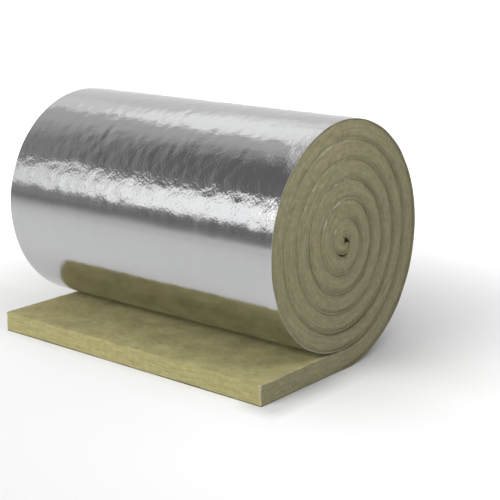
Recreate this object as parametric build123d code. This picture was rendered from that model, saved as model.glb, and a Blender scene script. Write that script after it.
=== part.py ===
from build123d import *

import os
from math import asin, degrees, sqrt

# Mineral wool insulation mat with an aluminium foil facing, wound into a roll.
# Its free end is laid out flat.
# The roll's axis is X. The free end lies towards -Y with its foil side down, and Z is up.
# The origin is on the floor, under the middle of the whole object. All lengths are in millimetres.

# Driving dimensions
ROLL_WIDTH = 1000.0       # width of the mat, which is the length of the roll
ROLL_RADIUS = 353.0       # outer half turn, on the side away from the free end
TAIL_LENGTH = 360.0       # free end, measured from below the roll's axis
MAT_THICKNESS = 58.0      # wool and foil together, where the mat lies flat
WOUND_THICKNESS = 54.0    # the same where it is pressed in the roll, which is the step from turn to turn
FOIL_THICKNESS = 0.5      # foil laminate
NIP_GAP = 1.5             # between the free end and the underside of the roll
INNER_HALF_TURNS = 11     # half turns under the outer turn
SETTLING = 3.0            # how far the soft roll sinks where it lies on the floor
SETTLED_RADIUS = 150.0    # bend where the mat leaves the floor
TURN_GAP_WIDTH = 5.0      # gap between two turns, as it shows on the roll's ends
TURN_GAP_DEPTH = 15.0     # how far that gap reaches into the ends
CORE_SLIT_LENGTH = 26.0   # slit that the mat's inner end leaves at the middle of the roll
CORE_SLIT_HEIGHT = 10.0
CORE_SLIT_OFFSET = 8.0    # the slit's middle, from the roll's axis towards +Y

# Places that follow from them, in the plane of the roll's ends, measured from the floor below the roll's axis
AXIS_HEIGHT = ROLL_RADIUS - SETTLING
ROLL_TOP = AXIS_HEIGHT + ROLL_RADIUS
NIP_HEIGHT = MAT_THICKNESS + NIP_GAP
TAIL_SIDE_RADIUS = (ROLL_TOP - NIP_HEIGHT) / 2       # outer half turn, on the free end's side
TAIL_SIDE_HEIGHT = (ROLL_TOP + NIP_HEIGHT) / 2
INNER_TOP = ROLL_TOP - WOUND_THICKNESS
INNER_RADIUS = (INNER_TOP - NIP_HEIGHT) / 2          # first half turn under the outer turn
INNER_HEIGHT = (INNER_TOP + NIP_HEIGHT) / 2
BEND_OFFSET = ROLL_RADIUS - SETTLED_RADIUS
FLAT_END = sqrt(BEND_OFFSET**2 - (BEND_OFFSET - SETTLING) ** 2)
BEND_ANGLE = degrees(asin(FLAT_END / BEND_OFFSET))
AXIS_OFFSET = (TAIL_LENGTH - ROLL_RADIUS) / 2        # from under the middle of the whole object
END_PLANE = Plane((0, AXIS_OFFSET, 0), (0, 1, 0), (1, 0, 0))

# Directions from an arc's centre, from +Y towards +Z
DOWN = -90.0
UP = 90.0


def outer_run(depth):
    """The mat's outer side from its free end to the nip: edges that lie depth inside the foil's surface."""
    return [
        Line((-TAIL_LENGTH, depth), (FLAT_END, depth)),
        CenterArc((FLAT_END, SETTLED_RADIUS), SETTLED_RADIUS - depth, DOWN, BEND_ANGLE),
        CenterArc((0, AXIS_HEIGHT), ROLL_RADIUS - depth, DOWN + BEND_ANGLE, 180 - BEND_ANGLE),
        CenterArc((0, TAIL_SIDE_HEIGHT), TAIL_SIDE_RADIUS - depth, UP, 180),
    ]


def turn_line(shift):
    """The line between the turns, by half turns from the nip to the core, moved outwards by shift."""
    arcs = []
    for half in range(INNER_HALF_TURNS):
        side = half % 2   # 0 away from the free end, 1 towards it
        radius = INNER_RADIUS - WOUND_THICKNESS / 2 * half
        height = INNER_HEIGHT + WOUND_THICKNESS / 2 * side
        arcs.append(CenterArc((0, height), radius + shift, DOWN + 180 * side, 180))
    return arcs


def face_inside(edges):
    """The face that the edges enclose, turned from the drawing plane into the plane of the roll's ends."""
    return END_PLANE * Face(Wire(edges))


def band(first, second):
    """The face between two runs of edges that lie side by side."""
    caps = [Line(first[0] @ 0, second[0] @ 0), Line(first[-1] @ 1, second[-1] @ 1)]
    return face_inside([*first, *second, *caps])


def across_the_roll(face):
    """The face drawn out over the roll's whole width."""
    return extrude(face, ROLL_WIDTH / 2, both=True)


def wool_mat():
    """The wound wool with its free end: one solid, with its core slit and the gaps between its turns."""
    outside = outer_run(FOIL_THICKNESS)
    free_end_top = (-TAIL_LENGTH, MAT_THICKNESS)
    nip = (0, MAT_THICKNESS)
    inside = [Line(outside[0] @ 0, free_end_top), Line(free_end_top, nip), Line(nip, outside[-1] @ 1)]
    mat = across_the_roll(face_inside([*outside, *inside]))

    gap = band(turn_line(-TURN_GAP_WIDTH / 2), turn_line(TURN_GAP_WIDTH / 2))
    for end in (-1, 1):
        mat -= extrude(Pos(X=end * ROLL_WIDTH / 2) * gap, TURN_GAP_DEPTH, dir=(-end, 0, 0))

    core = turn_line(0)[-1] @ 1
    slit = Pos(core.X + CORE_SLIT_OFFSET, core.Y) * SlotOverall(CORE_SLIT_LENGTH, CORE_SLIT_HEIGHT)
    mat -= across_the_roll(END_PLANE * slit)
    return mat


def foil_facing():
    """The foil on the mat's outer side, under the free end and round the outer turn to the nip."""
    return across_the_roll(band(outer_run(0), outer_run(FOIL_THICKNESS)))


os.makedirs("parts", exist_ok=True)
export_step(wool_mat(), "parts/wool_mat.step")
export_step(foil_facing(), "parts/foil_facing.step")
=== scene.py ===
from math import asin, cos, pi, radians, sin, sqrt

import bpy
import numpy as np
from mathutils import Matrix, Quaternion, Vector


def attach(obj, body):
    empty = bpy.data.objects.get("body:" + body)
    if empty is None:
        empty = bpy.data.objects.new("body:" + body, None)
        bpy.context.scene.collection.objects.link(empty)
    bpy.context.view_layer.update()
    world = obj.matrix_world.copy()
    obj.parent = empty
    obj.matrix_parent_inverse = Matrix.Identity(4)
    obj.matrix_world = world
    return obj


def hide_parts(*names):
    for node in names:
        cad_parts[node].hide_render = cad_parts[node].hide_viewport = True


# Insulation roll: a mineral wool mat with foil on its outer side, wound up, with its free end laid out flat.
# Lengths are in metres. X is the roll's axis, the free end lies towards -Y, and Z is up.
# A place along the wound mat is the angle that it has been wound through, in radians from under the axis.

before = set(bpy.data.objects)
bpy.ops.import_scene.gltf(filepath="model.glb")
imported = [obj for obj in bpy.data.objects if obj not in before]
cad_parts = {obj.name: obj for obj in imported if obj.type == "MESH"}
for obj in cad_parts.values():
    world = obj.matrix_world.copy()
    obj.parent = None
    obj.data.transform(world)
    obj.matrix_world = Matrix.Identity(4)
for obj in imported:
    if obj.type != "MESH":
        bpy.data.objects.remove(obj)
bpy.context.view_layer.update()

# The roll, as the solids have it
ROLL_WIDTH = 1.0
ROLL_RADIUS = 0.353          # outer half turn, on the side away from the free end
TAIL_LENGTH = 0.360          # free end, measured from below the roll's axis
MAT_THICKNESS = 0.058        # where the mat lies flat
WOUND_THICKNESS = 0.054      # in the roll, which is the step from turn to turn
NIP_GAP = 0.0015             # between the free end and the underside of the roll
SETTLING = 0.003             # how far the soft roll sinks where it lies on the floor
SETTLED_RADIUS = 0.150       # bend where the mat leaves the floor
HALF_TURNS = 13              # from under the axis to the core
OUTER_HALF_TURNS = 2         # those of the outer turn among them

# Places that follow from them, measured from the floor below the roll's axis
AXIS_HEIGHT = ROLL_RADIUS - SETTLING
ROLL_TOP = AXIS_HEIGHT + ROLL_RADIUS
NIP_HEIGHT = MAT_THICKNESS + NIP_GAP
TAIL_SIDE_RADIUS = (ROLL_TOP - NIP_HEIGHT) / 2
TAIL_SIDE_HEIGHT = (ROLL_TOP + NIP_HEIGHT) / 2
INNER_TOP = ROLL_TOP - WOUND_THICKNESS
INNER_RADIUS = (INNER_TOP - NIP_HEIGHT) / 2
INNER_HEIGHT = (INNER_TOP + NIP_HEIGHT) / 2
BEND_OFFSET = ROLL_RADIUS - SETTLED_RADIUS
FLAT_END = sqrt(BEND_OFFSET**2 - (BEND_OFFSET - SETTLING) ** 2)
BEND_ANGLE = asin(FLAT_END / BEND_OFFSET)
SETTLED_RUN = FLAT_END + SETTLED_RADIUS * BEND_ANGLE
AXIS_OFFSET = (TAIL_LENGTH - ROLL_RADIUS) / 2
FULL_TURN = 2 * pi
TAIL_SIDE = 1.5 * pi         # where the outer turn faces the free end's side
ROUNDING = 1e-9              # lets an angle that ends a half turn count as the start of the next one
JUST_BEFORE = 1e-6           # keeps the outer turn's last angle in the outer turn

# The wool's mesh
WOOL_STEP = 0.005            # along the mat, in the roll
TAIL_STEP = 0.0045           # along the free end
TAIL_COLUMNS = 200           # steps across the free end, between the close columns
CLOSE_COLUMNS = (0.0, 0.002, 0.005, 0.009, 0.014, 0.020)   # from each end of the roll inwards
HIDDEN_COLUMNS = (0, 1, 2, 4, 12)   # numbers of the columns that the hidden sides have, from each end inwards
THICKNESS_SHARES = (0, 0.035, 0.09, 0.16, 0.25, 0.36, 0.5, 0.64, 0.75, 0.84, 0.91, 0.965, 1)
FRONT_ROWS = 6               # rows at the free end's cut that its relief may move
NIP_ROWS = 4                 # rows past the axis to which the free end's top has every column
UNDER_FOIL = 0.0006          # how far the wool stays inside the foil's smooth outer side
CUT_EDGE_RADIUS = 0.0020     # rounding of the mat's cut edges
LARGEST_ROUNDING = 0.45      # the most that it may be, as a share of the mat's thickness
CORE_START = 11 * pi         # from here on the mat's inner side dips towards its end
CORE_DIP = 0.013
MAT_END = 12.6 * pi          # where the mat's inner end stops
SHARP_ANGLE = 50             # degrees from face to face, past which an edge is sharp

# Half the gap between two turns, and where it opens: angle, opening, and half the length in radians
TURN_GAP = 0.0003
GAP_SHARE = 0.6              # share of it that is there on average
GAP_OPENINGS = (
    (2.06 * pi, 0.0015, 0.30),
    (4.14 * pi, 0.0026, 0.60),
    (7.60 * pi, 0.0010, 0.50),
    (8.20 * pi, 0.0012, 0.50),
    (12.0 * pi, 0.0030, 0.60),
    (13.0 * pi, 0.0020, 0.55),
)

# Soft grooves on the ends where two turns meet, with painted shade in them, and the side on which the ends
# are rough
GROOVE_WIDTH = 0.017         # from a groove's middle to its side
GROOVE_DEPTH = 0.0042
GROOVE_START = (-0.2, 0.2)   # angles between which the grooves begin
GROOVE_TIGHT = 0.6           # share of their depth where the turns lie tight
GROOVE_LOOSE = 0.8           # what is added to it where the turns lie loose
LOOSE_SIDE = 0.375 * pi      # where the turns lie loosest
LOOSE_RANGE = (-0.5, 0.5)    # cosines of the angle from that side, from tight to loose
SEAM_SHADE_WIDTH = 0.021           # how far the painted shade reaches from a groove's middle
SEAM_SHADE_TIGHT = 0.3             # share of the painted shade where the turns lie tight
ROUGH_SIDE = 1.22 * pi       # where the ends are roughest, and a painted glint of the foil's cut edge shows between the turns
ROUGH_RANGE = (0.55, 0.95)   # cosines of the angle from that side, from even to rough
FOIL_EDGE_GLINT_LAYER = 1          # the last layer of points, counted from outside, that shows the painted glint of the foil's cut edge

# Unevenness: the lengths of its features one way and the other, its height, and the seed of its noise
GAP_CHANGES = (0.8, 1.0, 0.6, 5)            # over the angle, as a share of the gap between two turns
END_LAYERS = (0.045, 0.0045, 0.0010, 11)    # on the ends: along the mat, and through it
END_TUFTS = (0.012, 0.008, 0.0014, 12)
END_LUMPS = (0.15, 0.03, 0.0013, 13)
END_PATCHES = (0.35, 0.2, 0.5, 14)          # as a share of the tufts
END_CLUMPS = (0.018, 0.011, 0.0034, 15)     # only where the ends are rough
TAIL_WAVES = (0.09, 0.13, 0.0009, 21)       # on the free end's top: along the mat, and across it
TAIL_DENTS = (0.028, 0.034, 0.0005, 22)
TAIL_TUFTS = (0.009, 0.011, 0.0006, 23)
FRONT_LAYERS = (0.06, 0.006, 0.0009, 31)    # on the free end's cut: across the mat, and through it
FRONT_TUFTS = (0.012, 0.009, 0.0010, 32)
FRONT_WAVES = (0.16, 0.08, 0.0016, 33)
FOIL_WAVES = (0.14, 0.10, 0.00035, 41)      # on the foil: along the mat, and across it
FOIL_FOLDS = (0.034, 0.016, 0.00050, 42)
FOIL_DENTS = (0.022, 0.024, 0.00042, 43)
RIM_WAVES = (0.05, 1.0, 0.0012, 44)         # of the foil's rims, over the length and from rim to rim
FOIL_LUMPS = (0.017, 0.022, 0.00058, 45)
LATTICE_SIZE = 32            # points each way after which the noise repeats
NOISE_OFFSET = 0.37          # keeps flat noise off the planes of the lattice
END_SHIFT = 5.0              # moves the noise of one end, so that the two ends differ
TUFT_SHARE = 0.5             # share of the tufts that is there on average
END_INSET = 0.0015           # how far the ends lie inside the solid's ends on average
FRONT_INSET = 0.0012         # the same for the free end's cut
SHELTERED = (-0.09, -0.03)   # from under the axis: where the free end's relief dies away below the roll

# The foil's mesh
FOIL_STEP = 0.005
FOIL_COLUMNS = 200
FOIL_TAIL_ROWS = 18          # under the free end
FOIL_THICKNESS = 0.0004
FOIL_RISE = 0.0012           # how far its outside stands off its smooth shape on average
CRINKLE_START = (0.15, 0.45)                          # angles between which its crinkles begin
CRINKLE_END = (FULL_TURN - 0.30, FULL_TURN - 0.08)    # angles between which they die away at the nip
TAUT_RANGE = (TAIL_SIDE - 0.36, TAIL_SIDE - 0.10)     # angles between which it becomes nearly smooth
TAUT_SHARE = 0.85            # share of its folds, dents and mottling that is missing there
LUMPY_START = (TAIL_SIDE - 0.62, TAIL_SIDE - 0.48)    # angles between which a lumpy band begins
LUMPY_END = (TAIL_SIDE - 0.34, TAIL_SIDE - 0.24)      # angles between which it ends
LUMPY_MOTTLE = 0.9           # how much more mottling there is in that band
PRESSED_START = 0.93         # share of half the width from which its crinkles grow lower
PRESSED_SHARE = 0.7          # share of them that is missing at its rims
RIM_START = 0.97             # share of half the width at which its rims begin
RIM_INSET = 0.0010           # how far its rims lie inside the solid's on average
BULGE_HEIGHT = 0.0020        # one broad bulge on the free end's side
BULGE_PLACE = -0.235         # its middle, along the roll's axis
BULGE_HALF_WIDTH = 0.09
BULGE_ANGLE = TAIL_SIDE - 0.575
BULGE_HALF_ANGLE = 0.08

# Noise in the materials: scale, detail, roughness and distortion
LAYER_NOISE = (1.0, 3.0, 0.55, 0.3)
TUFT_NOISE = (62.0, 5.0, 0.65, 0.4)
FIBRE_NOISE = (420.0, 3.0, 0.7, 2.5)
PATCH_NOISE = (7.0, 3.0, 0.55, 0.0)
STRAND_NOISE = (1.0, 1.0, 0.5, 0.6)
SMEAR_NOISE = (1.0, 4.0, 0.6, 0.0)
GRAIN_NOISE = (1.0, 4.0, 0.6, 0.6)
MOTTLE_NOISE = (1.0, 1.0, 0.5, 0.3)
NOISE_MIDDLE = 0.5

# The wool's material
LAYER_SCALE = (14, 210, 14)             # along the mat, through it and across it
STRAND_LENGTH = 0.014
STRAND_WIDTH = 0.0011
STRAND_LINE = 0.06                      # how far the noise is from its middle at a strand's sides
STRAND_TILTS = (0.3, -0.4)              # radians, of strands along the mat and across it
STRAND_SHADES = (-0.035, 0.085)         # what is added to the shade beside a strand and on it
SHADE_WEIGHTS = (0.45, 0.35, 0.20)      # of layers, tufts and fibres
SHADE_RANGE = (0.34, 0.66)              # from dark to light
PATCH_RANGE = (0.35, 0.65)              # of the noise, from one kind of patch to the other
WOOL_DARK = ((0.222, 0.197, 0.088, 1), (0.212, 0.197, 0.090, 1))       # in the two kinds of patch
WOOL_LIGHT = ((0.425, 0.376, 0.173, 1), (0.408, 0.375, 0.174, 1))
WOOL_ON_ENDS = ((0.262, 0.242, 0.162, 1), (0.488, 0.455, 0.316, 1))    # dark and light
END_COLOUR_RANGE = (ROLL_WIDTH / 2 - 0.010, ROLL_WIDTH / 2 - 0.004)    # from the middle of the roll's width
END_COLOUR_SHARE = 0.55
# painted shade in the seams between the turns: its colour and its greatest share
SEAM_SHADE_COLOUR = (0.12, 0.105, 0.055, 1)
SEAM_SHADE_SHARE = 0.31
# painted glint of the foil's cut edge between the turns: its colour, and its shares
FOIL_EDGE_GLINT_COLOUR = (0.84, 0.82, 0.76, 1)
FOIL_EDGE_GLINT_SHARES = (0.38, 0.56, 0.25, 1.0)      # from this range of the tufts to this range of shares
WOOL_BUMP_WEIGHTS = (0.45, 0.65, 0.35, 0.04)    # of layers, tufts, fibres and strands
WOOL_BUMP = {"Strength": 0.55, "Distance": 0.004}
WOOL_FINISH = {"Roughness": 0.95, "Specular IOR Level": 0.15, "Sheen Weight": 0.04, "Sheen Roughness": 0.6}

# The foil's material
SMEAR_SCALE = (5, 1, 22)                # along the mat, through it and across it
GRAIN_SCALE = (60, 1, 150)
MOTTLE_SCALE = (105, 1, 135)
FOIL_COLOURS = ((0.485, 0.489, 0.497, 1), (0.526, 0.528, 0.532, 1))
FOIL_ROUGHNESS = (0.3, 0.7, 0.10, 0.17)   # from this range of the smears to this range of roughness
GRAIN_BUMP = {"Strength": 0.12, "Distance": 0.001}
MOTTLE_BUMP = {"Strength": 1.0, "Distance": 0.0004}

# The floor. Each four numbers are a range of places along Y, and the range of values that it gives.
FLOOR_REACH = 60.0
FLOOR_LEVEL = -0.0006
# the floor's grey, darker far in front of the roll: painted shade where the lamps' light falls off
FLOOR_PAINTED_SHADE = (-1.9, -0.5, 0.24, 0.63)
FRONT_GLOW = (-6.0, -2.5, 0.17, 0.42)     # far from the roll, with the next one added
BACK_GLOW = (-2.5, 1.0, 0.0, 0.48)
NEAR_GLOW = (-0.4, 0.2, 0.21, 0.05)       # near the roll
GLOW_START = 0.5                          # distance from the origin up to which the near glow holds
GLOW_REACH = (-0.5, 0.0, 3.0, 1.6)        # distance from which the far glow holds

# A painted contact shadow: a patch of floor beside the free end that has no glow. How it begins and ends
# along X, and along Y
PAINTED_SHADOW_ALONG_X = ((0.42, 0.48, 0.0, 1.0), (0.54, 0.59, 1.0, 0.0))
PAINTED_SHADOW_ALONG_Y = ((-0.42, -0.36, 0.0, 1.0), (-0.10, 0.05, 1.0, 0.0))

# Upright soft boxes in front of the roll that fade towards their top: name, foot, width, height, radiance
FADING_BOXES = (
    ("front_box", (-2.40, -3.4, 0.97), 2.0, 1.45, 1.35),
    ("front_side_box", (-4.65, -3.4, 0.97), 2.5, 1.49, 0.82),
)
FADE_BANDS = 3
FADE_BAND_HEIGHT = 0.17

# The other soft boxes: name, place, the way that it shines, size, radiance, and its turn about the vertical
DOWN = (0, 0, -1)
TO_BACK = (0, 1, 0)
TO_FRONT = (0, -1, 0)
SOFT_BOXES = (
    ("over_back_box", (-1.95, 1.21, 3.0), DOWN, (1.6, 1.4), 0.72, -0.15),
    ("over_back_side_box", (-3.63, 1.43, 3.0), DOWN, (1.8, 1.3), 0.32, -0.15),
    ("over_far_box", (-1.95, 2.35, 3.0), DOWN, (1.6, 0.9), 0.30, 0.0),
    ("back_box", (-3.6, 2.8, 1.9), TO_FRONT, (5.2, 3.7), 0.22, 0.0),
    ("top_box", (-0.1, -0.3, 3.0), DOWN, (2.0, 2.0), 0.62, 0.0),
    ("key_box", (-0.3, -3.6, 1.8), (0.3, 3.6, -1.5), (1.6, 1.6), 16.8, 0.0),
    ("right_box", (1.35, -0.35, 1.7), (-0.85, 0.35, -1.05), (0.9, 0.9), 5.5, 0.0),
)

# Radiance of the studio's walls and ceiling, and the directions between which it changes
WORLD_FRONT = 0.19           # in front of the roll
WORLD_FRONT_SIDE = 0.36      # in front, towards -X
WORLD_FRONT_RIGHT = 0.10     # in front, towards +X
WORLD_BACK = 0.63            # behind the roll
WORLD_BACK_RIGHT = 0.25      # behind, towards +X
WORLD_SIDE = (-0.73, -0.66)  # the directions' X between which the front changes towards -X
WORLD_RIGHT = (-0.1, 0.4)    # the same towards +X, for front and back
BORDER_START = (-0.73, -0.64, -0.46, -0.27)   # where the front ends: a range of X, and of Y over Z
BORDER_END = 0.03            # where the back begins, as Y over Z
LOWEST_RISE = 0.02           # the least Z that Y is divided by

# Camera
CAMERA_AZIMUTH = 39.44
CAMERA_ELEVATION = 14.54
CAMERA_DISTANCE = 3.6482
CAMERA_TARGET = (0.16578, 0.0035, 0.29036)
CAMERA_LENS = 90.93
CAMERA_SENSOR = 36.0
CAMERA_REACH = 200.0

WHITE = (1, 1, 1, 1)


# Shapes that both pieces share

def gentle(share):
    """A share from 0 to 1 that starts and ends gently."""
    return share * share * (3 - 2 * share)


def lattice_noise(places, seed):
    """Smooth noise from -1 to 1 at places, an array of points one unit apart from feature to feature."""
    lattice = np.random.default_rng(seed).uniform(-1, 1, (LATTICE_SIZE,) * 3)
    cell = np.floor(places).astype(int)
    part = gentle(places - cell)
    total = np.zeros(len(places))
    for corner in np.ndindex(2, 2, 2):
        share = np.prod(np.where(corner, part, 1 - part), axis=1)
        x, y, z = ((cell + corner) % LATTICE_SIZE).T
        total += share * lattice[x, y, z]
    return total


def uneven(kind, first, second):
    """Unevenness of one kind over two running lengths."""
    first_length, second_length, height, seed = kind
    places = np.stack([first / first_length, second / second_length, np.zeros_like(first)], axis=1)
    return height * lattice_noise(places + NOISE_OFFSET, seed)


def fade(value, start, end):
    """A smooth step from 0 at start to 1 at end."""
    return gentle(np.clip((value - start) / (end - start), 0, 1))


def inner_radius(half):
    """The radius of a half turn under the outer turn."""
    return INNER_RADIUS - WOUND_THICKNESS / 2 * (half - OUTER_HALF_TURNS)


def turn_line(angle):
    """Points (y, z) on the mat's outer side, by the angle that it has been wound through."""
    half = np.clip(np.floor(angle / pi + ROUNDING).astype(int), 0, HALF_TURNS - 1)
    inner_height = INNER_HEIGHT + WOUND_THICKNESS / 2 * (half % 2)
    kind = np.minimum(half, OUTER_HALF_TURNS)
    radius = np.choose(kind, [ROLL_RADIUS, TAIL_SIDE_RADIUS, inner_radius(half)])
    height = np.choose(kind, [AXIS_HEIGHT, TAIL_SIDE_HEIGHT, inner_height])
    y = radius * np.sin(angle)
    z = height - radius * np.cos(angle)

    run = angle / BEND_ANGLE * SETTLED_RUN
    bend = np.clip((run - FLAT_END) / SETTLED_RADIUS, 0, BEND_ANGLE)
    settled = angle < BEND_ANGLE
    y = np.where(settled, np.minimum(run, FLAT_END) + SETTLED_RADIUS * np.sin(bend), y)
    z = np.where(settled, SETTLED_RADIUS * (1 - np.cos(bend)), z)
    return np.stack([y, z], axis=1)


def wound_angles(step, end):
    """Angles from under the axis to end, about one step apart along the mat."""
    angles = [0.0]
    while angles[-1] < end:
        half = int(angles[-1] / pi + ROUNDING)
        radius = ROLL_RADIUS if half < OUTER_HALF_TURNS else inner_radius(half)
        angles.append(angles[-1] + step / max(radius, WOUND_THICKNESS / 2))
    angles[-1] = end
    return np.array(angles)


def running_length(points):
    """The length along a row of points, at each of them."""
    steps = np.linalg.norm(np.diff(points, axis=0), axis=1)
    return np.concatenate([[0.0], np.cumsum(steps)])


def unit(vectors):
    """The vectors at length 1."""
    return vectors / np.linalg.norm(vectors, axis=1)[:, None]


def make_piece(name, points, faces, place, material):
    """A mesh piece that is smooth but for its sharp edges, with each point's place on the mat kept on it."""
    mesh = bpy.data.meshes.new(name)
    mesh.from_pydata(points.tolist(), [], faces)
    mesh.validate()
    kept = mesh.attributes.new("mat_place", "FLOAT_VECTOR", "POINT")
    kept.data.foreach_set("vector", place.astype(np.float32).ravel())
    mesh.shade_smooth()
    mesh.set_sharp_from_angle(angle=radians(SHARP_ANGLE))
    mesh.materials.append(material)
    piece = bpy.data.objects.new(name, mesh)
    bpy.context.scene.collection.objects.link(piece)
    return piece


def keep_value(piece, name, values):
    """Keeps a number for each point on the piece, for its material to read."""
    kept = piece.data.attributes.new(name, "FLOAT", "POINT")
    kept.data.foreach_set("value", values.astype(np.float32))


def grid_faces(numbers):
    """Four-sided faces over a grid of point numbers."""
    corners = (numbers[:-1, :-1], numbers[1:, :-1], numbers[1:, 1:], numbers[:-1, 1:])
    return np.stack(corners, axis=-1).reshape(-1, 4).tolist()


def joining_faces(fine, coarse, coarse_columns):
    """Faces between a row that has every column and one that has only the coarse columns."""
    faces = []
    for place, (left, right) in enumerate(zip(coarse_columns[:-1], coarse_columns[1:])):
        faces.append([*fine[left:right + 1].tolist(), int(coarse[place + 1]), int(coarse[place])])
    return faces


def turned(faces):
    """The faces with their other side out."""
    return [face[::-1] for face in faces]


# Wool mat

def turn_gap(angle):
    """Half the gap at an angle along the line between two turns."""
    gap = TURN_GAP * (GAP_SHARE + uneven(GAP_CHANGES, angle, angle * 0))
    for centre, opening, length in GAP_OPENINGS:
        gap = gap + opening * np.exp(-((angle - centre) / length) ** 2)
    return gap


def mat_stations():
    """Points on the mat's outer and inner side from its free end to its core, and the place of each pair.

    In the roll a place is an angle. On the free end it is the length up to under the axis, below zero.
    Also gives how many of the pairs are on the free end.
    """
    count = int(TAIL_LENGTH / TAIL_STEP)
    tail_y = np.linspace(-TAIL_LENGTH, 0, count, endpoint=False)
    tail_outer = np.stack([tail_y, np.full(count, UNDER_FOIL)], axis=1)
    tail_inner = np.stack([tail_y, np.full(count, MAT_THICKNESS)], axis=1)

    angle = wound_angles(WOOL_STEP, MAT_END)
    outer = turn_line(angle)
    inner = turn_line(np.minimum(angle + FULL_TURN, HALF_TURNS * pi))
    inner[:, 1] -= CORE_DIP * fade(angle, CORE_START, MAT_END)
    inward = unit(inner - outer)
    outer_gap = np.where(angle < FULL_TURN, UNDER_FOIL, turn_gap(angle))
    outer = outer + inward * outer_gap[:, None]
    inner = inner - inward * turn_gap(angle + FULL_TURN)[:, None]

    outer = np.concatenate([tail_outer, outer])
    inner = np.concatenate([tail_inner, inner])
    return outer, inner, np.concatenate([tail_y, angle]), count


def wool_columns():
    """Places of the columns across the mat, and the numbers of those that its hidden sides have."""
    close = np.array(CLOSE_COLUMNS)
    span = np.linspace(close[-1], ROLL_WIDTH - close[-1], TAIL_COLUMNS + 1)[1:-1]
    across = np.concatenate([close, span, ROLL_WIDTH - close[::-1]])
    last = len(across) - 1
    hidden = [*HIDDEN_COLUMNS, *(last - column for column in reversed(HIDDEN_COLUMNS))]
    return across, hidden


def skin_points(rows, layers, columns, hidden, nip):
    """Which points of a long box's grid are on its skin: the hidden sides have only the hidden columns."""
    used = np.zeros((rows, layers, columns), bool)
    used[:, :, [0, columns - 1]] = True
    used[:, 0, hidden] = True
    used[:, layers - 1, hidden] = True
    used[-1][:, hidden] = True
    used[0] = True
    used[:nip + 1, layers - 1, :] = True
    return used


def skin_faces(number, hidden, nip):
    """The skin's faces: both ends, the free end's cut, the core, the outer side and the inner side."""
    faces = turned(grid_faces(number[:, :, 0])) + grid_faces(number[:, :, -1])
    faces += turned(grid_faces(number[0]))
    faces += grid_faces(number[-1][:, hidden])
    faces += turned(joining_faces(number[0, 0], number[1, 0][hidden], hidden))
    faces += grid_faces(number[1:, 0][:, hidden])
    faces += turned(grid_faces(number[:nip + 1, -1]))
    faces += joining_faces(number[nip, -1], number[nip + 1, -1][hidden], hidden)
    faces += turned(grid_faces(number[nip + 1:, -1][:, hidden]))
    return faces


def wool_mesh():
    """The mat as the skin of a long box, wound up and rounded at its cut edges.

    Gives its points and faces, the points' places on the mat, and how much painted seam shade and painted
    glint of the foil's cut edge there is there.
    """
    outer, inner, angle, tail_count = mat_stations()
    along = running_length((outer + inner) / 2)
    thickness = np.linalg.norm(inner - outer, axis=1)
    inward = unit(inner - outer)
    forward = np.stack([inward[:, 1], -inward[:, 0]], axis=1)
    across, hidden = wool_columns()
    shares = np.array(THICKNESS_SHARES)
    last_layer = len(shares) - 1
    nip = tail_count + NIP_ROWS

    used = skin_points(len(outer), len(shares), len(across), hidden, nip)
    number = np.cumsum(used).reshape(used.shape) - 1
    row, layer, column = np.nonzero(used)
    turn = angle[row]

    place = np.stack([along[row], shares[layer] * thickness[row], across[column]], axis=1)
    size = np.stack([np.full(len(row), along[-1]), thickness[row], np.full(len(row), ROLL_WIDTH)], axis=1)
    radius = np.minimum(CUT_EDGE_RADIUS, thickness[row] * LARGEST_ROUNDING)[:, None]
    core = np.clip(place, radius, size - radius)
    way = unit(place - core)
    rounded = core + radius * way

    on_end = np.abs(way[:, 2])
    on_top = np.where((turn < 0) & (layer == last_layer), np.abs(way[:, 1]), 0)
    on_front = np.where(row < FRONT_ROWS, np.abs(way[:, 0]), 0)
    shift = np.where(column < len(across) // 2, 0.0, END_SHIFT)
    seam_distance = np.minimum(place[:, 1], size[:, 1] - place[:, 1])
    loose = fade(np.cos(turn - LOOSE_SIDE), *LOOSE_RANGE)
    rough = fade(np.cos(turn - ROUGH_SIDE), *ROUGH_RANGE)
    groove = (1 - np.clip(seam_distance / GROOVE_WIDTH, 0, 1)) ** 2 * fade(turn, *GROOVE_START)
    groove *= GROOVE_TIGHT + GROOVE_LOOSE * loose
    relief = on_end * (end_relief(place[:, 0], place[:, 1] + shift, rough) - GROOVE_DEPTH * groove)
    relief += on_top * tail_relief(place[:, 0], place[:, 2], turn)
    relief += on_front * front_relief(place[:, 2], place[:, 1])
    moved = rounded + way * relief[:, None]

    points = np.empty((len(row), 3))
    points[:, 0] = moved[:, 2] - ROLL_WIDTH / 2
    lengthwise = (moved[:, 0] - place[:, 0])[:, None] * forward[row]
    points[:, 1:] = outer[row] + moved[:, 1][:, None] * inward[row] + lengthwise
    points[:, 1] += AXIS_OFFSET

    # Painted shade in the seams between the turns, heavier where they lie loose.
    seam_shade = (1 - fade(seam_distance, 0.0, SEAM_SHADE_WIDTH)) * (turn > 0) * (SEAM_SHADE_TIGHT + (1 - SEAM_SHADE_TIGHT) * loose)
    # A painted glint: the foil's cut edge shows pale between the turns on the rough side.
    foil_edge_glint = (layer <= FOIL_EDGE_GLINT_LAYER) * (turn > FULL_TURN) * on_end * rough
    return points, skin_faces(number, hidden, nip), place, seam_shade, foil_edge_glint


def end_relief(along, depth, rough):
    """How far the cut ends of the turns stand out: layers along the turns, tufts, lumps and clumps."""
    layers = uneven(END_LAYERS, along, depth)
    tufts = uneven(END_TUFTS, along, depth) * (TUFT_SHARE + uneven(END_PATCHES, along, depth))
    lumps = uneven(END_LUMPS, along, depth)
    clumps = uneven(END_CLUMPS, along, depth) * rough
    return layers + tufts + lumps + clumps - END_INSET


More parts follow.
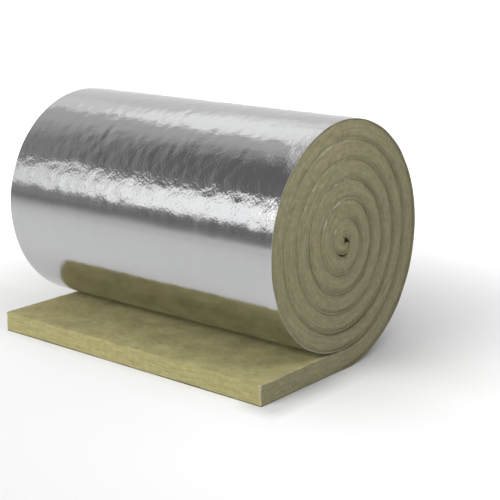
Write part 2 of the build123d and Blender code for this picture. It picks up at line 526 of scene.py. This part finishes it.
def tail_relief(along, across, angle):
    """How far the top of the free end rises and falls. It dies away under the roll."""
    waves = uneven(TAIL_WAVES, along, across)
    dents = uneven(TAIL_DENTS, along, across)
    tufts = uneven(TAIL_TUFTS, along, across)
    return (1 - fade(angle, *SHELTERED)) * (waves + dents + tufts)


def front_relief(across, depth):
    """How uneven the cut at the free end is: layers along it, tufts and waves."""
    layers = uneven(FRONT_LAYERS, across, depth)
    tufts = uneven(FRONT_TUFTS, across, depth)
    waves = uneven(FRONT_WAVES, across, depth)
    return layers + tufts + waves - FRONT_INSET


# Foil

def foil_mesh():
    """The foil, crinkled outside and plain on the side that lies on the wool.

    Gives its points and faces, the points' places on the mat, and how mottled it is there.
    """
    tail_y = np.linspace(-TAIL_LENGTH, 0, FOIL_TAIL_ROWS, endpoint=False)
    angle = wound_angles(FOIL_STEP, FULL_TURN)
    tail_line = np.stack([tail_y, np.zeros_like(tail_y)], axis=1)
    line = np.concatenate([tail_line, turn_line(np.minimum(angle, FULL_TURN - JUST_BEFORE))])
    angle = np.concatenate([tail_y, angle])
    along = running_length(line)
    forward = unit(np.gradient(line, axis=0))
    outward = np.stack([forward[:, 1], -forward[:, 0]], axis=1)

    across = np.linspace(-ROLL_WIDTH / 2, ROLL_WIDTH / 2, FOIL_COLUMNS + 1)
    rows, columns = len(line), len(across)
    number = np.arange(rows * columns).reshape(rows, columns)
    row, column = np.divmod(number.ravel(), columns)
    turn = angle[row]
    side = np.sign(across[column])
    edge_share = np.abs(across[column]) / (ROLL_WIDTH / 2)
    rim = fade(edge_share, RIM_START, 1.0)
    free = fade(turn, *CRINKLE_START) * (1 - fade(turn, *CRINKLE_END))
    free = free * (1 - PRESSED_SHARE * fade(edge_share, PRESSED_START, 1.0))
    rise = free * np.maximum(crinkle(along[row], across[column], turn), 0)

    outside = np.empty((len(row), 3))
    outside[:, 0] = across[column] + rim * (uneven(RIM_WAVES, along[row], side) - RIM_INSET * side)
    outside[:, 1:] = line[row] + rise[:, None] * outward[row]

    ends = [0, columns - 1]
    inside = np.empty((rows, 2, 3))
    inside[:, :, 0] = outside[number[:, ends], 0]
    inside[:, :, 1:] = (line - FOIL_THICKNESS * outward)[:, None, :]
    inner_number = len(row) + np.arange(rows * 2).reshape(rows, 2)
    points = np.concatenate([outside, inside.reshape(-1, 3)])
    points[:, 1] += AXIS_OFFSET

    rims = [grid_faces(np.stack([number[:, ends[end]], inner_number[:, end]], axis=1)) for end in (0, 1)]
    faces = grid_faces(number) + turned(grid_faces(inner_number))
    faces += turned(rims[0]) + rims[1]
    faces += joining_faces(number[0], inner_number[0], ends)
    faces += turned(joining_faces(number[-1], inner_number[-1], ends))

    outer_place = np.stack([along[row], np.zeros(len(row)), across[column]], axis=1)
    inner_place = np.stack([np.repeat(along, 2), np.zeros(rows * 2), np.tile(across[ends], rows)], axis=1)
    all_turns = np.concatenate([turn, np.repeat(angle, 2)])
    mottle = slackness(all_turns) + LUMPY_MOTTLE * lumpiness(all_turns)
    return points, faces, np.concatenate([outer_place, inner_place]), mottle


def slackness(angle):
    """How loosely the foil lies. On the free end's side, below the roll's middle, it is nearly smooth."""
    return 1 - TAUT_SHARE * fade(angle, *TAUT_RANGE)


def lumpiness(angle):
    """How lumpy the foil is: only in a band on the free end's side, above the roll's middle."""
    return fade(angle, *LUMPY_START) * (1 - fade(angle, *LUMPY_END))


def crinkle(along, across, angle):
    """How far the foil stands off its smooth shape: waves, folds, dents, lumps and one bulge."""
    waves = uneven(FOIL_WAVES, along, across)
    folds = uneven(FOIL_FOLDS, along, across)
    dents = uneven(FOIL_DENTS, along, across)
    lumps = uneven(FOIL_LUMPS, along, across)
    width_share = (across - BULGE_PLACE) / BULGE_HALF_WIDTH
    angle_share = (angle - BULGE_ANGLE) / BULGE_HALF_ANGLE
    bulge = BULGE_HEIGHT * np.exp(-width_share**2 - angle_share**2)
    return FOIL_RISE + waves + slackness(angle) * (folds + dents) + lumpiness(angle) * lumps + bulge


# Materials

def add_node(tree, kind, values=(), **settings):
    """A node with these settings. Its inputs take the given values, or links from other nodes."""
    made = tree.nodes.new(kind)
    for name, value in settings.items():
        setattr(made, name, value)
    for socket, value in dict(values).items():
        if isinstance(value, bpy.types.NodeSocket):
            tree.links.new(value, made.inputs[socket])
        else:
            made.inputs[socket].default_value = value
    return made


def new_material(name):
    """A material with its node tree and its shader."""
    material = bpy.data.materials.new(name)
    material.use_nodes = True
    tree = material.node_tree
    return material, tree, tree.nodes["Principled BSDF"]


def kept_value(tree, name, output="Fac"):
    """What a piece keeps under that name at each of its points."""
    return add_node(tree, "ShaderNodeAttribute", attribute_name=name).outputs[output]


def noise_of(tree, vector, kind):
    """Noise of one kind, mostly between 0 and 1."""
    scale, detail, roughness, distortion = kind
    values = {
        "Vector": vector,
        "Scale": scale,
        "Detail": detail,
        "Roughness": roughness,
        "Distortion": distortion,
    }
    return add_node(tree, "ShaderNodeTexNoise", values).outputs["Fac"]


def scaled(tree, vector, scale):
    """The vector times a scale for each of its axes."""
    values = {"Vector": vector, "Scale": scale}
    return add_node(tree, "ShaderNodeMapping", values).outputs["Vector"]


def axes_of(tree, vector):
    """The vector's X, Y and Z."""
    return add_node(tree, "ShaderNodeSeparateXYZ", {"Vector": vector}).outputs


def calc(tree, operation, first, second=0.0):
    """One step of arithmetic."""
    return add_node(tree, "ShaderNodeMath", {0: first, 1: second}, operation=operation).outputs[0]


def weighed(tree, values, weights):
    """The sum of the values, each times its weight."""
    parts = [calc(tree, "MULTIPLY", value, weight) for value, weight in zip(values, weights)]
    total = parts[0]
    for part in parts[1:]:
        total = calc(tree, "ADD", total, part)
    return total


def mixed(tree, share, first, second):
    """The first colour, with a share of the second. Sockets go by number, because their names repeat."""
    values = {0: share, 6: first, 7: second}
    return add_node(tree, "ShaderNodeMix", values, data_type="RGBA").outputs[2]


def spread(tree, value, low, high, to_low=0.0, to_high=1.0):
    """The value moved from one range to another and held inside it."""
    values = {"Value": value, "From Min": low, "From Max": high, "To Min": to_low, "To Max": to_high}
    return add_node(tree, "ShaderNodeMapRange", values).outputs["Result"]


def strands(tree, place, size, tilt):
    """Thin lines as long and as wide as size says, turned by tilt: strands that lie in the mat."""
    values = {"Vector": place, "Scale": size, "Rotation": (0, tilt, tilt)}
    strand_place = add_node(tree, "ShaderNodeMapping", values, vector_type="TEXTURE").outputs["Vector"]
    wander = noise_of(tree, strand_place, STRAND_NOISE)
    off_line = calc(tree, "ABSOLUTE", calc(tree, "SUBTRACT", wander, NOISE_MIDDLE))
    return spread(tree, off_line, 0.0, STRAND_LINE, 1.0, 0.0)


def wool_material():
    """Matt olive-brown fibre: layered, tufted, greyer on the ends, with painted shade in the seams between
    the turns and a painted glint of the foil's cut edge.
    """
    material, tree, shader = new_material("mineral_wool")
    place = kept_value(tree, "mat_place", "Vector")
    position = add_node(tree, "ShaderNodeTexCoord").outputs["Object"]
    layers = noise_of(tree, scaled(tree, place, LAYER_SCALE), LAYER_NOISE)
    tufts = noise_of(tree, position, TUFT_NOISE)
    fibres = noise_of(tree, position, FIBRE_NOISE)
    patches = spread(tree, noise_of(tree, position, PATCH_NOISE), *PATCH_RANGE)
    along_mat = strands(tree, place, (STRAND_LENGTH, STRAND_WIDTH, STRAND_WIDTH), STRAND_TILTS[0])
    across_mat = strands(tree, place, (STRAND_WIDTH, STRAND_WIDTH, STRAND_LENGTH), STRAND_TILTS[1])
    single = calc(tree, "MAXIMUM", along_mat, across_mat)

    shade = weighed(tree, (layers, tufts, fibres), SHADE_WEIGHTS)
    shade = calc(tree, "ADD", shade, spread(tree, single, 0.0, 1.0, *STRAND_SHADES))
    shade = spread(tree, shade, *SHADE_RANGE)
    colour = mixed(tree, shade, mixed(tree, patches, *WOOL_DARK), mixed(tree, patches, *WOOL_LIGHT))
    across = calc(tree, "ABSOLUTE", axes_of(tree, position)["X"])
    on_end = spread(tree, across, *END_COLOUR_RANGE, 0.0, END_COLOUR_SHARE)
    colour = mixed(tree, on_end, colour, mixed(tree, shade, *WOOL_ON_ENDS))
    # Painted shade in the seams between the turns.
    colour = mixed(tree, calc(tree, "MULTIPLY", kept_value(tree, "seam_shade"), SEAM_SHADE_SHARE), colour, SEAM_SHADE_COLOUR)
    # Painted glint of the foil's cut edge between the turns.
    glint = calc(tree, "MULTIPLY", kept_value(tree, "foil_edge_glint"), spread(tree, tufts, *FOIL_EDGE_GLINT_SHARES))
    colour = mixed(tree, glint, colour, FOIL_EDGE_GLINT_COLOUR)
    tree.links.new(colour, shader.inputs["Base Color"])

    height = weighed(tree, (layers, tufts, fibres, single), WOOL_BUMP_WEIGHTS)
    bump = add_node(tree, "ShaderNodeBump", {**WOOL_BUMP, "Height": height})
    tree.links.new(bump.outputs["Normal"], shader.inputs["Normal"])
    for socket, value in WOOL_FINISH.items():
        shader.inputs[socket].default_value = value
    return material


def foil_material():
    """Bright metal with faint smears, a fine grain, and mottling where it lies loose."""
    material, tree, shader = new_material("aluminium_foil")
    place = kept_value(tree, "mat_place", "Vector")
    smear = noise_of(tree, scaled(tree, place, SMEAR_SCALE), SMEAR_NOISE)
    grain = noise_of(tree, scaled(tree, place, GRAIN_SCALE), GRAIN_NOISE)
    mottle = noise_of(tree, scaled(tree, place, MOTTLE_SCALE), MOTTLE_NOISE)
    tree.links.new(mixed(tree, smear, *FOIL_COLOURS), shader.inputs["Base Color"])
    tree.links.new(spread(tree, smear, *FOIL_ROUGHNESS), shader.inputs["Roughness"])
    fine = add_node(tree, "ShaderNodeBump", {**GRAIN_BUMP, "Height": grain}).outputs["Normal"]
    height = calc(tree, "MULTIPLY", mottle, kept_value(tree, "mottle"))
    bump = add_node(tree, "ShaderNodeBump", {**MOTTLE_BUMP, "Height": height, "Normal": fine})
    tree.links.new(bump.outputs["Normal"], shader.inputs["Normal"])
    shader.inputs["Metallic"].default_value = 1.0
    return material


# Studio

def soft_box(name, place, aim, size, radiance, turn=0.0):
    """An area lamp that looks as bright as a surface of that radiance, turned about the vertical."""
    data = bpy.data.lights.new(name, "AREA")
    data.shape = "RECTANGLE"
    data.size, data.size_y = size
    data.energy = radiance * pi * size[0] * size[1]
    lamp = bpy.data.objects.new(name, data)
    lamp.location = place
    lamp.rotation_mode = "QUATERNION"
    lamp.rotation_quaternion = Quaternion((0, 0, 1), turn) @ Vector(aim).to_track_quat("-Z", "Y")
    bpy.context.scene.collection.objects.link(lamp)


def fading_box(name, foot, width, height, radiance):
    """An upright soft box that shines towards the back, with bands above it that grow darker."""
    x, y, low = foot
    soft_box(name, (x, y, low + height / 2), TO_BACK, (width, height), radiance)
    for band in range(FADE_BANDS):
        middle = low + height + FADE_BAND_HEIGHT * (band + 0.5)
        share = 1 - (band + 1) / (FADE_BANDS + 1)
        size = (width, FADE_BAND_HEIGHT)
        soft_box(f"{name}_fade_{band}", (x, y, middle), TO_BACK, size, radiance * share)


def floor_material():
    """Grey, with painted shade far in front of the roll, and a glow for the camera and for mirrors that makes
    it look white away from the roll, left out in a painted shadow beside the free end.
    """
    material, tree, shader = new_material("floor_white")
    shader.inputs["Roughness"].default_value = 1.0
    shader.inputs["Specular IOR Level"].default_value = 0.0
    shader.inputs["Emission Color"].default_value = WHITE
    position = add_node(tree, "ShaderNodeTexCoord").outputs["Object"]
    distance = add_node(tree, "ShaderNodeVectorMath", {0: position}, operation="LENGTH").outputs["Value"]
    axes = axes_of(tree, position)
    lengthwise, behind = axes["X"], axes["Y"]
    # Darker far in front of the roll: painted shade.
    shade = spread(tree, behind, *FLOOR_PAINTED_SHADE)
    colour = add_node(tree, "ShaderNodeCombineColor", {"Red": shade, "Green": shade, "Blue": shade})
    tree.links.new(colour.outputs["Color"], shader.inputs["Base Color"])

    near_glow = spread(tree, behind, *NEAR_GLOW)
    far_glow = calc(tree, "ADD", spread(tree, behind, *FRONT_GLOW), spread(tree, behind, *BACK_GLOW))
    reach = spread(tree, behind, *GLOW_REACH)
    glow = spread(tree, distance, GLOW_START, reach, near_glow, far_glow)
    # Painted contact shadow: no glow beside the free end.
    painted_shadow_x = calc(tree, "MULTIPLY", *[spread(tree, lengthwise, *limits) for limits in PAINTED_SHADOW_ALONG_X])
    painted_shadow_y = calc(tree, "MULTIPLY", *[spread(tree, behind, *limits) for limits in PAINTED_SHADOW_ALONG_Y])
    outside_painted_shadow = calc(tree, "SUBTRACT", 1.0, calc(tree, "MULTIPLY", painted_shadow_x, painted_shadow_y))
    glow = calc(tree, "MULTIPLY", glow, outside_painted_shadow)

    path = add_node(tree, "ShaderNodeLightPath").outputs
    seen = calc(tree, "MAXIMUM", path["Is Camera Ray"], path["Is Glossy Ray"])
    seen = calc(tree, "MAXIMUM", seen, path["Is Transmission Ray"])
    tree.links.new(calc(tree, "MULTIPLY", glow, seen), shader.inputs["Emission Strength"])
    return material


def make_floor():
    """One large plate, a little below the roll."""
    signs = ((-1, -1), (1, -1), (1, 1), (-1, 1))
    corners = [(x * FLOOR_REACH, y * FLOOR_REACH, FLOOR_LEVEL) for x, y in signs]
    mesh = bpy.data.meshes.new("floor")
    mesh.from_pydata(corners, [], [[0, 1, 2, 3]])
    mesh.materials.append(floor_material())
    plate = bpy.data.objects.new("floor", mesh)
    bpy.context.scene.collection.objects.link(plate)


def make_world():
    """The studio's grey walls and ceiling, lighter behind the roll than in front of it."""
    world = bpy.data.worlds.new("studio_grey")
    world.use_nodes = True
    tree = world.node_tree
    axes = axes_of(tree, add_node(tree, "ShaderNodeTexCoord").outputs["Generated"])
    behind = calc(tree, "DIVIDE", axes["Y"], calc(tree, "MAXIMUM", axes["Z"], LOWEST_RISE))
    front = spread(tree, axes["X"], *WORLD_SIDE, WORLD_FRONT_SIDE, WORLD_FRONT)
    to_right = spread(tree, axes["X"], *WORLD_RIGHT, 0.0, WORLD_FRONT_RIGHT - WORLD_FRONT)
    front = calc(tree, "ADD", front, to_right)
    back = spread(tree, axes["X"], *WORLD_RIGHT, WORLD_BACK, WORLD_BACK_RIGHT)
    border = spread(tree, axes["X"], *BORDER_START)
    radiance = spread(tree, behind, border, BORDER_END, front, back)
    tree.links.new(radiance, tree.nodes["Background"].inputs["Strength"])
    tree.nodes["Background"].inputs["Color"].default_value = WHITE
    bpy.context.scene.world = world


def make_studio():
    """The floor, the lamps and the world."""
    make_floor()
    for box in FADING_BOXES:
        fading_box(*box)
    for box in SOFT_BOXES:
        soft_box(*box)
    make_world()


def make_camera():
    """The camera at the photograph's viewing angle."""
    azimuth, elevation = radians(CAMERA_AZIMUTH), radians(CAMERA_ELEVATION)
    back = Vector((sin(azimuth) * cos(elevation), -cos(azimuth) * cos(elevation), sin(elevation)))
    data = bpy.data.cameras.new("camera")
    data.sensor_width = CAMERA_SENSOR
    data.lens = CAMERA_LENS
    data.clip_end = CAMERA_REACH
    camera = bpy.data.objects.new("camera", data)
    camera.location = Vector(CAMERA_TARGET) + back * CAMERA_DISTANCE
    camera.rotation_mode = "QUATERNION"
    camera.rotation_quaternion = (-back).to_track_quat("-Z", "Y")
    bpy.context.scene.collection.objects.link(camera)
    bpy.context.scene.camera = camera


# The pieces

wool_points, wool_faces, wool_place, wool_seam_shade, wool_foil_edge_glint = wool_mesh()
wool = make_piece("wool_roll", wool_points, wool_faces, wool_place, wool_material())
keep_value(wool, "seam_shade", wool_seam_shade)
keep_value(wool, "foil_edge_glint", wool_foil_edge_glint)
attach(wool, "root")
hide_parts("wool_mat")

foil_points, foil_faces, foil_place, foil_mottle = foil_mesh()
foil = make_piece("foil_sheet", foil_points, foil_faces, foil_place, foil_material())
keep_value(foil, "mottle", foil_mottle)
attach(foil, "root")
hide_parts("foil_facing")

make_studio()
make_camera()
bpy.context.scene.view_settings.view_transform = "Standard"
